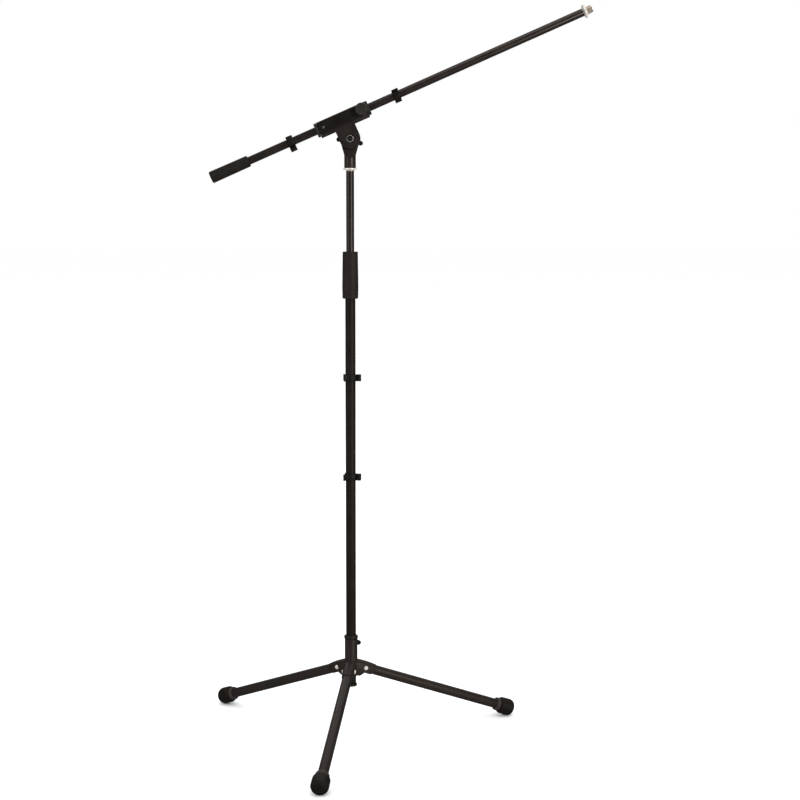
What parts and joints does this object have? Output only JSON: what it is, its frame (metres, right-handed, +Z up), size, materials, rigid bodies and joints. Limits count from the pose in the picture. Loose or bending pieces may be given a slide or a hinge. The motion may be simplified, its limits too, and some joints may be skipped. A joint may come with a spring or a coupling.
{
  "type": "boom microphone stand",
  "caption": "Folding tripod microphone stand with a telescopic mast, a tilting and sliding boom, cable clips and a threaded tip for a microphone holder.",
  "frame": {"origin": "on the floor, under the mast, midway between the three feet", "axes": "+Z up along the mast; +X towards the raised end of the boom, which lies in the XZ plane; -Y towards the side that carries the boom clamp knob"},
  "size_m": [0.782, 0.6187, 1.4939],
  "materials": {
    "tube_black": "satin black powder coat on steel tube",
    "casting_black": "black coated die casting, fine orange peel",
    "plastic_black": "black moulded plastic, fine texture",
    "grip_black": "black soft grip",
    "rubber_black": "black moulded rubber",
    "nylon_grey": "dark nylon bearing plastic",
    "nickel": "bright nickel plate",
    "zinc_steel": "bright zinc plated steel",
    "brass_insert": "turned brass",
    "fibre": "pressed fibre friction lining"
  },
  "bodies": {
    "hub": {"hub_casting": "casting_black", "hub_liner": "plastic_black", "leg_rivets": "nickel"},
    "leg_front": {"leg_tube_front": "tube_black", "leg_knuckle_front": "casting_black", "foot_boot_front": "rubber_black"},
    "leg_right": {"leg_tube_right": "tube_black", "leg_knuckle_right": "casting_black", "foot_boot_right": "rubber_black"},
    "leg_left": {"leg_tube_left": "tube_black", "leg_knuckle_left": "casting_black", "foot_boot_left": "rubber_black"},
    "hub_clamp": {"hub_screw": "zinc_steel", "hub_knob": "plastic_black"},
    "lower_mast": {"lower_tube": "tube_black", "lower_end_cap": "plastic_black", "clutch_insert": "nylon_grey", "clutch_collet": "nylon_grey", "clutch_thrust_ring": "nylon_grey"},
    "height_clutch": {"clutch_shell": "nylon_grey", "clutch_grip": "grip_black"},
    "mast_glide": {"glide_bush": "nylon_grey"},
    "upper_mast": {"upper_tube": "tube_black", "upper_tube_plug": "nylon_grey", "glide_clip": "zinc_steel", "mast_spigot": "zinc_steel", "swivel_socket": "casting_black", "friction_disc": "fibre"},
    "mast_ring": {"head_lock_ring": "nickel"},
    "boom_clamp": {"clamp_body": "casting_black", "tilt_bolt": "zinc_steel", "rear_washer": "zinc_steel", "clamp_shoe": "brass_insert", "bush_pin": "zinc_steel"},
    "tilt_handle": {"tilt_handle": "plastic_black", "handle_insert": "brass_insert"},
    "boom_clamp_knob": {"boom_knob": "plastic_black", "boom_knob_stud": "zinc_steel"},
    "boom_bushes": {"boom_bush_left": "plastic_black", "boom_bush_right": "plastic_black"},
    "boom": {"boom_tube": "tube_black", "boom_end_plug": "nylon_grey", "boom_grip": "grip_black", "boom_spigot": "zinc_steel", "thread_adapter": "nickel"},
    "boom_ring": {"boom_lock_ring": "nickel"},
    "mast_clip_upper": {"mast_clip_upper": "plastic_black"},
    "mast_clip_lower": {"mast_clip_lower": "plastic_black"},
    "boom_clip_left": {"boom_clip_left": "plastic_black"},
    "boom_clip_right": {"boom_clip_right": "plastic_black"}
  },
  "joints": [
    {"name": "leg_fold_front", "type": "hinge", "parent": "hub", "child": "leg_front", "pos_m": [-0.00466, -0.02812, 0.1415], "axis": [0.9866, -0.1633, 0], "range_deg": [0, 70]},
    {"name": "leg_fold_right", "type": "hinge", "parent": "hub", "child": "leg_right", "pos_m": [0.02668, 0.01003, 0.1415], "axis": [-0.3518, 0.9361, 0], "range_deg": [0, 70]},
    {"name": "leg_fold_left", "type": "hinge", "parent": "hub", "child": "leg_left", "pos_m": [-0.02202, 0.01809, 0.1415], "axis": [-0.6347, -0.7727, 0], "range_deg": [0, 70]},
    {"name": "hub_clamp_turn", "type": "hinge", "parent": "hub", "child": "hub_clamp", "pos_m": [0, 0, 0.193], "axis": [0.1633, 0.9866, 0], "range_deg": [0, 360]},
    {"name": "base_slide", "type": "slide", "parent": "hub", "child": "lower_mast", "axis": [0, 0, 1], "range_m": [-0.1, 0.0175]},
    {"name": "clutch_turn", "type": "hinge", "parent": "lower_mast", "child": "height_clutch", "pos_m": [0, 0, 0.9556], "axis": [0, 0, 1], "range_deg": [0, 180]},
    {"name": "height_slide", "type": "slide", "parent": "lower_mast", "child": "mast_glide", "axis": [0, 0, 1], "range_m": [-0.162, 0.5]},
    {"name": "mast_turn", "type": "hinge", "parent": "mast_glide", "child": "upper_mast", "pos_m": [0, 0, 0.3785], "axis": [0, 0, 1], "continuous": true},
    {"name": "mast_ring_turn", "type": "hinge", "parent": "upper_mast", "child": "mast_ring", "pos_m": [0, 0, 1.166], "axis": [0, 0, 1], "range_deg": [0, 90]},
    {"name": "boom_tilt", "type": "hinge", "parent": "upper_mast", "child": "boom_clamp", "pos_m": [0, 0, 1.2279], "axis": [0, -1, 0], "range_deg": [-114, 66]},
    {"name": "tilt_handle_turn", "type": "hinge", "parent": "boom_clamp", "child": "tilt_handle", "pos_m": [0, 0, 1.2279], "axis": [0, -1, 0], "range_deg": [0, 180]},
    {"name": "boom_knob_turn", "type": "hinge", "parent": "boom_clamp", "child": "boom_clamp_knob", "pos_m": [0.0229, 0, 1.28493], "axis": [0, -1, 0], "range_deg": [0, 180]},
    {"name": "boom_roll", "type": "hinge", "parent": "boom_clamp", "child": "boom_bushes", "pos_m": [-0.0167, 0, 1.26567], "axis": [0.9146, 0, 0.4043], "continuous": true},
    {"name": "boom_slide", "type": "slide", "parent": "boom_bushes", "child": "boom", "axis": [0.9146, 0, 0.4043], "range_m": [-0.0522, 0.0472]},
    {"name": "boom_ring_turn", "type": "hinge", "parent": "boom", "child": "boom_ring", "pos_m": [0.46667, 0, 1.47937], "axis": [0.9146, 0, 0.4043], "range_deg": [0, 90]},
    {"name": "mast_clip_upper_turn", "type": "hinge", "parent": "lower_mast", "child": "mast_clip_upper", "pos_m": [0, 0, 0.747], "axis": [0, 0, 1], "continuous": true},
    {"name": "mast_clip_lower_turn", "type": "hinge", "parent": "lower_mast", "child": "mast_clip_lower", "pos_m": [0, 0, 0.543], "axis": [0, 0, 1], "continuous": true},
    {"name": "boom_clip_left_turn", "type": "hinge", "parent": "boom", "child": "boom_clip_left", "pos_m": [-0.11822, 0, 1.22079], "axis": [0.9146, 0, 0.4043], "continuous": true},
    {"name": "boom_clip_right_turn", "type": "hinge", "parent": "boom", "child": "boom_clip_right", "pos_m": [0.09296, 0, 1.31415], "axis": [0.9146, 0, 0.4043], "continuous": true}
  ]
}
